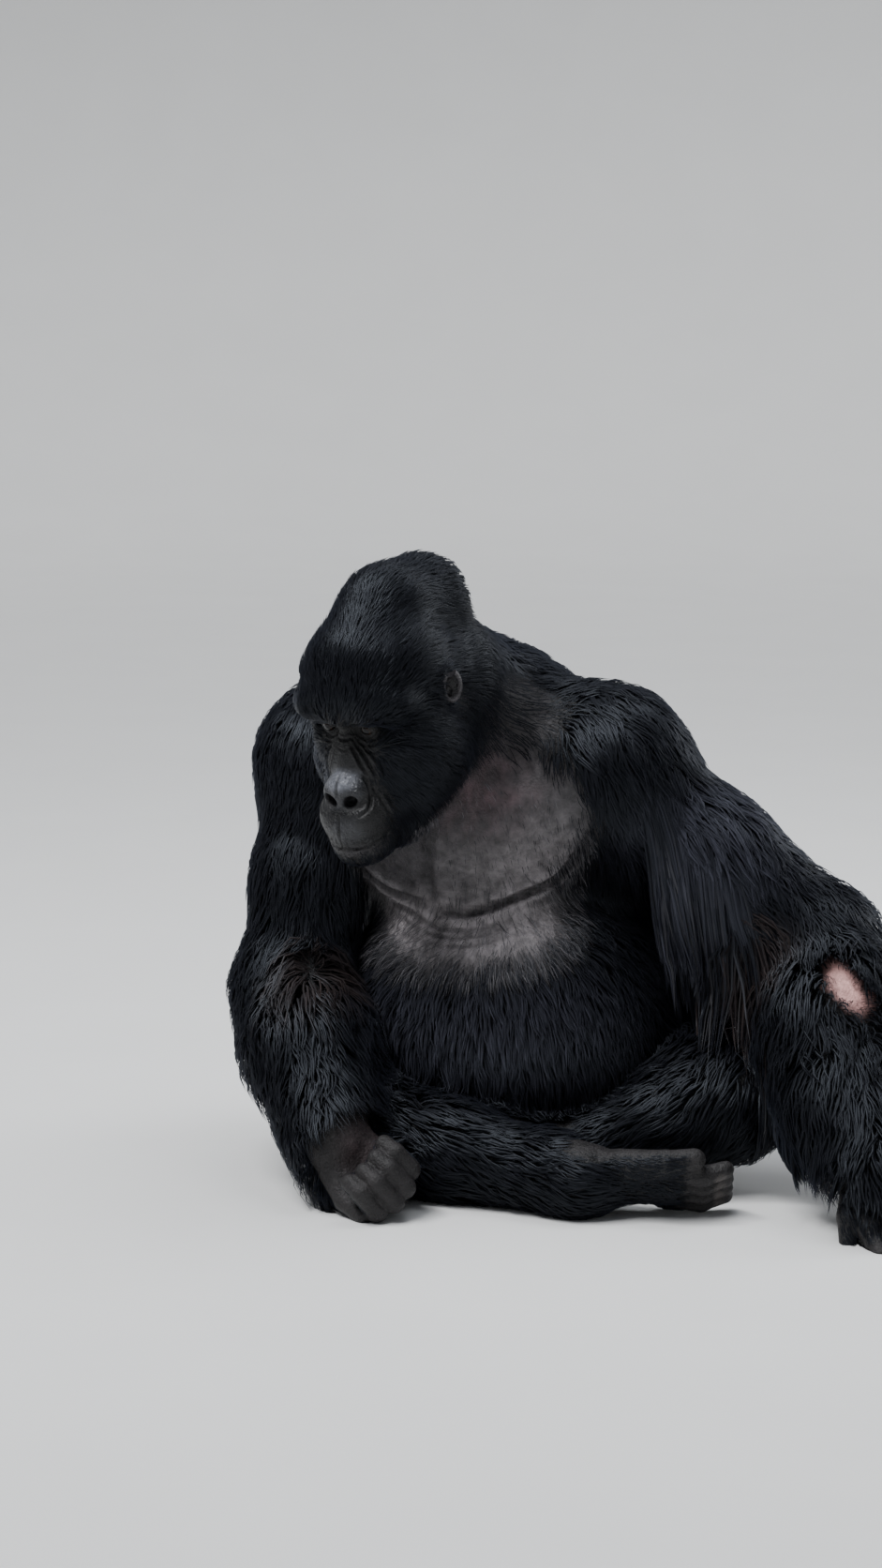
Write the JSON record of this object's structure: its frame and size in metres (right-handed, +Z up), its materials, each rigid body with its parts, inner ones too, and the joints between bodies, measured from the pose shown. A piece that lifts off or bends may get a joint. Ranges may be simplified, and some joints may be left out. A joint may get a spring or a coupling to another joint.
{
  "type": "mountain gorilla",
  "caption": "Life-size silverback mountain gorilla seated cross-legged, hunched forward with its head turned down to its right and its hands on the ground.",
  "frame": {"origin": "the point on the floor under the pelvis, on the flat the animal sits on", "axes": "+Z up, the chest faces -Y, the animal's own left is +X"},
  "size_m": [1.1481, 0.7997, 0.9423],
  "materials": {
    "coat": "long black hair with a bluish sheen",
    "bare_skin": "wrinkled dark grey skin",
    "eye": "wet dark brown eye"
  },
  "bodies": {
    "root": {"head": "coat", "neck": "coat", "chest": "coat", "belly": "coat", "pelvis": "coat", "upper_arm_r": "coat", "upper_arm_l": "coat", "forearm_r": "coat", "forearm_l": "coat", "thigh_r": "coat", "thigh_l": "coat", "shin_r": "coat", "shin_l": "coat", "hand_r": "bare_skin", "hand_l": "bare_skin", "foot_r": "bare_skin", "foot_l": "bare_skin", "ear_r": "bare_skin", "ear_l": "bare_skin", "eye_r": "eye", "eye_l": "eye"}
  },
  "joints": []
}
